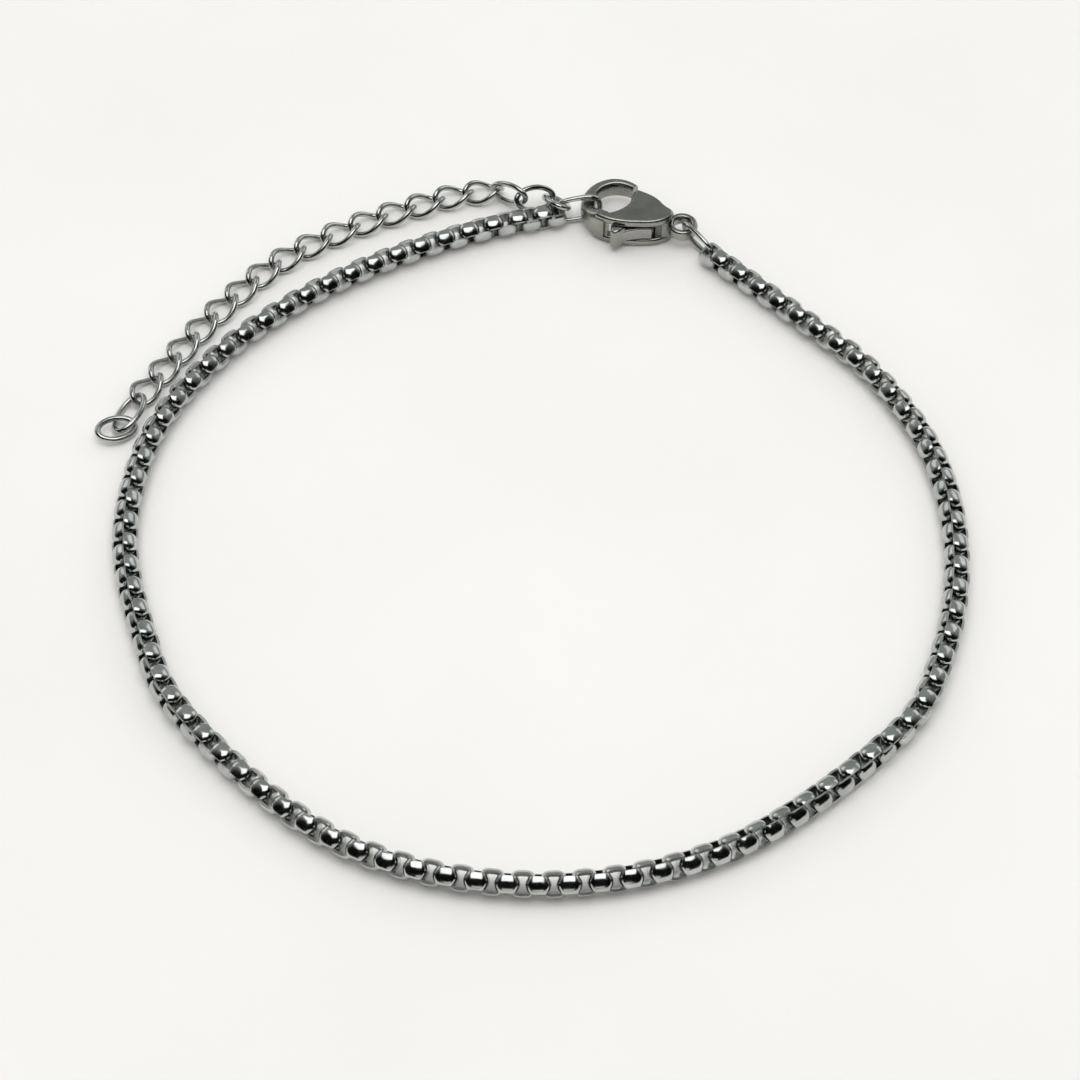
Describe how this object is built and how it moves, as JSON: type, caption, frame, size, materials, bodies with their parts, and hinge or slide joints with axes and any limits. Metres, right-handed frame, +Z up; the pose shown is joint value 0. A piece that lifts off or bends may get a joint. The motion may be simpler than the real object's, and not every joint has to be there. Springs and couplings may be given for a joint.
{
  "type": "hand chain",
  "caption": "Rounded box chain hand chain closed by a lobster claw clasp, with a curb extension chain that ends in a free ring.",
  "frame": {"origin": "centre of the whole box in X and Y, on the surface that the chain lies on", "axes": "+Z up from the surface, +Y from the front of the loop towards the clasp, +X to the right; the clasp's claw points towards -X"},
  "size_m": [0.0754, 0.0786, 0.0032],
  "materials": {
    "polished_steel": "polished stainless steel, grey with bright highlights",
    "satin_steel": "tumbled satin stainless steel, slightly warm"
  },
  "bodies": {
    "chain": {"box_chain_right": "polished_steel", "box_chain_left": "polished_steel", "curb_link_01": "polished_steel", "curb_link_02": "polished_steel", "curb_link_03": "polished_steel", "curb_link_04": "polished_steel", "curb_link_05": "polished_steel", "curb_link_06": "polished_steel", "curb_link_07": "polished_steel", "curb_link_08": "polished_steel", "curb_link_09": "polished_steel", "curb_link_10": "polished_steel", "curb_link_11": "polished_steel", "curb_link_12": "polished_steel", "curb_link_13": "polished_steel", "curb_link_14": "polished_steel", "curb_link_15": "polished_steel", "curb_link_16": "polished_steel", "curb_link_17": "polished_steel", "curb_link_18": "polished_steel", "end_ring": "polished_steel", "linking_ring": "polished_steel", "claw_ring": "polished_steel", "eye_ring": "polished_steel", "clasp_body": "satin_steel"},
    "lever": {"clasp_lever": "satin_steel"}
  },
  "joints": [
    {"name": "clasp_lever_swing", "type": "hinge", "parent": "chain", "child": "lever", "pos_m": [0.01073, 0.03377, 0.0016], "axis": [0, 0, 1], "range_deg": [0, 26], "stiffness_Nm_per_rad": 0.0005}
  ]
}
